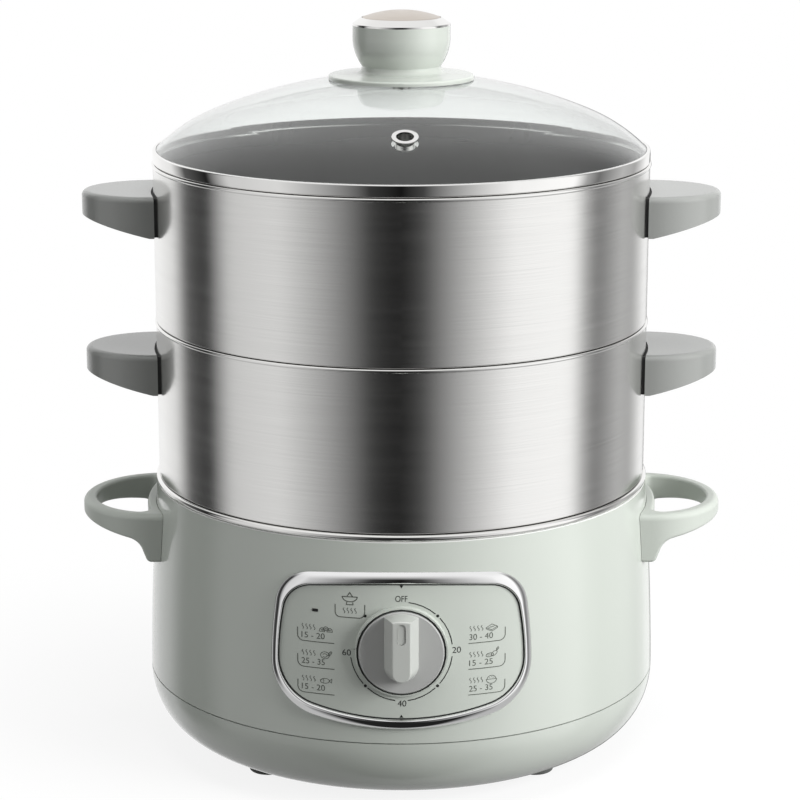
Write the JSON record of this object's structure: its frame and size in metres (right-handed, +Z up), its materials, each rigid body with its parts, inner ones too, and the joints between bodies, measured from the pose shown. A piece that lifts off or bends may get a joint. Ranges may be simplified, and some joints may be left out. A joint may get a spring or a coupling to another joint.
{
  "type": "electric food steamer",
  "caption": "Round electric food steamer: heated base with timer dial and loop handles, stacked stainless tiers with side handles, and a domed glass lid.",
  "frame": {"origin": "on the pot's vertical axis, at the height of the table under the rubber feet", "axes": "+Z up, -Y the front with the control panel, +X the right side seen from the front"},
  "size_m": [0.3432, 0.3008, 0.3907],
  "materials": {
    "steel": "brushed",
    "polished_steel": "polished",
    "zinc_steel": "plain sheet",
    "sage_plastic": "semi-gloss",
    "cover_plastic": "semi-gloss",
    "panel_plastic": "satin with printed marks",
    "handle_plastic": "satin",
    "glass": "clear",
    "cap_metal": "satin",
    "dark_rubber": "matte",
    "grey_rubber": "matte",
    "silicone": "matte",
    "white_inlay": "matte",
    "lens": "dark tinted",
    "lamp_glass": "clear",
    "black_plastic": "matte",
    "aluminium": "cast",
    "brass": "plain",
    "wire_brown": "insulation",
    "wire_blue": "insulation",
    "wire_earth": "insulation",
    "wire_white": "heat-proof sleeving",
    "ceramic": "glazed"
  },
  "bodies": {
    "base": {"base_handle_left": "sage_plastic", "base_handle_right": "sage_plastic", "base_handle_screws": "zinc_steel", "base_shell": "sage_plastic", "bottom_cover": "cover_plastic", "bottom_cover_screws": "zinc_steel", "control_panel": "panel_plastic", "earth_lead": "wire_earth", "heat_shield": "zinc_steel", "heater_leads": "wire_white", "heater_nuts": "zinc_steel", "heating_element": "zinc_steel", "heating_plate": "aluminium", "indicator_lamp": "lamp_glass", "indicator_lens": "lens", "inner_pot": "steel", "inner_pot_floor": "steel", "live_lead": "wire_brown", "neutral_lead": "wire_blue", "panel_frame": "polished_steel", "panel_screws": "zinc_steel", "pot_seal_ring": "silicone", "power_inlet": "black_plastic", "power_inlet_pins": "brass", "power_inlet_screws": "zinc_steel", "rubber_feet": "grey_rubber", "thermal_fuse": "ceramic", "thermostat": "ceramic", "thermostat_clip": "zinc_steel", "timer_bell": "zinc_steel", "timer_case": "black_plastic", "timer_contacts": "brass", "timer_plate": "zinc_steel", "timer_screws": "zinc_steel"},
    "timer_knob": {"dial_disc": "sage_plastic", "dial_grip": "sage_plastic", "dial_pointer": "white_inlay", "timer_shaft": "zinc_steel", "timer_cam": "black_plastic", "timer_mainspring": "zinc_steel"},
    "lower_tier": {"lower_tier_handle_bolts": "polished_steel", "lower_tier_handle_gaskets": "dark_rubber", "lower_tier_handle_left": "handle_plastic", "lower_tier_handle_right": "handle_plastic", "lower_tier_shell": "steel"},
    "upper_tier": {"upper_tier_handle_bolts": "polished_steel", "upper_tier_handle_gaskets": "dark_rubber", "upper_tier_handle_left": "handle_plastic", "upper_tier_handle_right": "handle_plastic", "upper_tier_shell": "steel"},
    "lid": {"lid_glass": "glass", "lid_knob_body": "sage_plastic", "lid_knob_cap": "cap_metal", "lid_knob_gasket": "silicone", "lid_knob_ring": "polished_steel", "lid_knob_screw": "polished_steel", "lid_knob_skirt": "sage_plastic", "lid_knob_washer": "silicone", "lid_rim_band": "polished_steel", "steam_vent_grommet": "polished_steel"}
  },
  "joints": [
    {"name": "timer_turn", "type": "hinge", "parent": "base", "child": "timer_knob", "pos_m": [0, -0.1, 0.0892], "axis": [0, 1, 0], "range_deg": [-45, 270]},
    {"name": "lower_tier_lift", "type": "slide", "parent": "base", "child": "lower_tier", "axis": [0, 0, 1], "range_m": [0, 0.12]},
    {"name": "upper_tier_lift", "type": "slide", "parent": "lower_tier", "child": "upper_tier", "axis": [0, 0, 1], "range_m": [0, 0.12]},
    {"name": "lid_lift", "type": "slide", "parent": "upper_tier", "child": "lid", "axis": [0, 0, 1], "range_m": [0, 0.15]}
  ]
}
